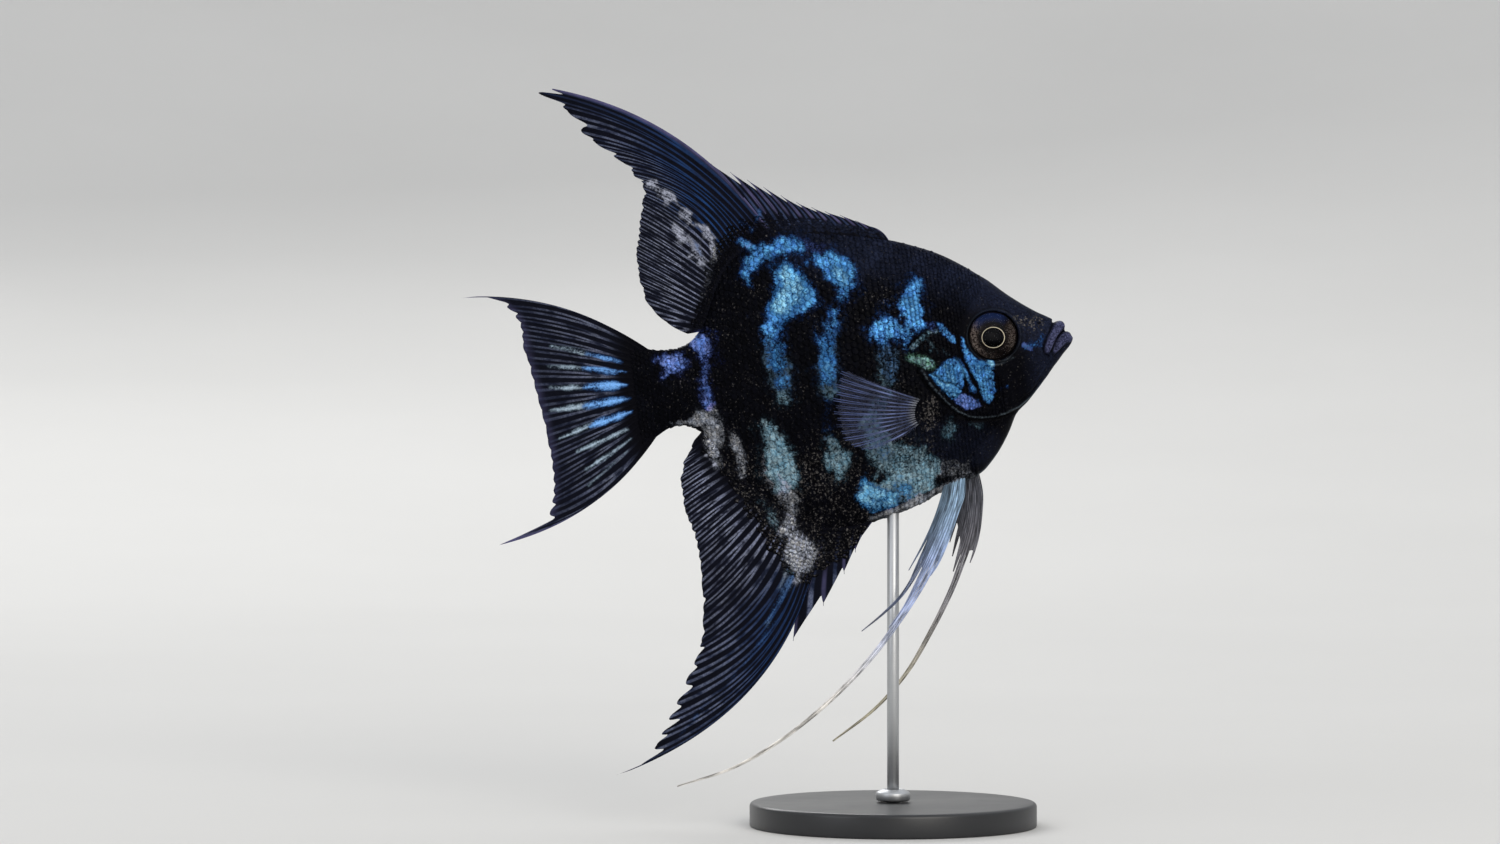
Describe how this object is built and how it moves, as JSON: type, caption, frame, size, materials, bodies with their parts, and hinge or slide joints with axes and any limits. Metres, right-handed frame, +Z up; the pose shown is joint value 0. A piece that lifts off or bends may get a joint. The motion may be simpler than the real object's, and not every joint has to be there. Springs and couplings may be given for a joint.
{
  "type": "freshwater angelfish",
  "caption": "Life-size still freshwater angelfish, dark with blue marbling, tall swept fins and trailing pelvic filaments, on a round base and rod.",
  "frame": {"origin": "centre of the round base's underside, straight below the rod", "axes": "+X towards the fish's head, +Y to the fish's left side, +Z up"},
  "size_m": [0.1282, 0.06, 0.1544],
  "materials": {
    "skin": "scaled wet skin, near black with iridescent blue patches",
    "gill_cover": "glossy skin over bone, iridescent blue",
    "eye": "clear glossy cornea over a dark iris with a fine gold ring",
    "fin": "smoky navy membrane over raised rays",
    "pectoral_fin": "nearly clear membrane over fine grey-blue rays",
    "pelvic_fin": "pearly pale blue to cream",
    "stand_base": "satin black paint on a turned steel disc",
    "stand_steel": "brushed stainless steel"
  },
  "bodies": {
    "root": {"head": "skin", "trunk": "skin", "tail_stem": "skin", "upper_jaw": "skin", "lower_jaw": "skin", "gill_cover_left": "gill_cover", "gill_cover_right": "gill_cover", "eye_left": "eye", "eye_right": "eye", "dorsal_fin_spiny": "fin", "dorsal_fin_soft": "fin", "anal_fin_spiny": "fin", "anal_fin_soft": "fin", "caudal_fin": "fin", "pectoral_fin_left": "pectoral_fin", "pectoral_fin_right": "pectoral_fin", "pelvic_fin_left": "pelvic_fin", "pelvic_fin_right": "pelvic_fin", "pelvic_filament_left_1": "pelvic_fin", "pelvic_filament_left_2": "pelvic_fin", "pelvic_filament_right_1": "pelvic_fin", "pelvic_filament_right_2": "pelvic_fin", "stand_base": "stand_base", "stand_rod": "stand_steel", "stand_collar": "stand_steel"}
  },
  "joints": []
}
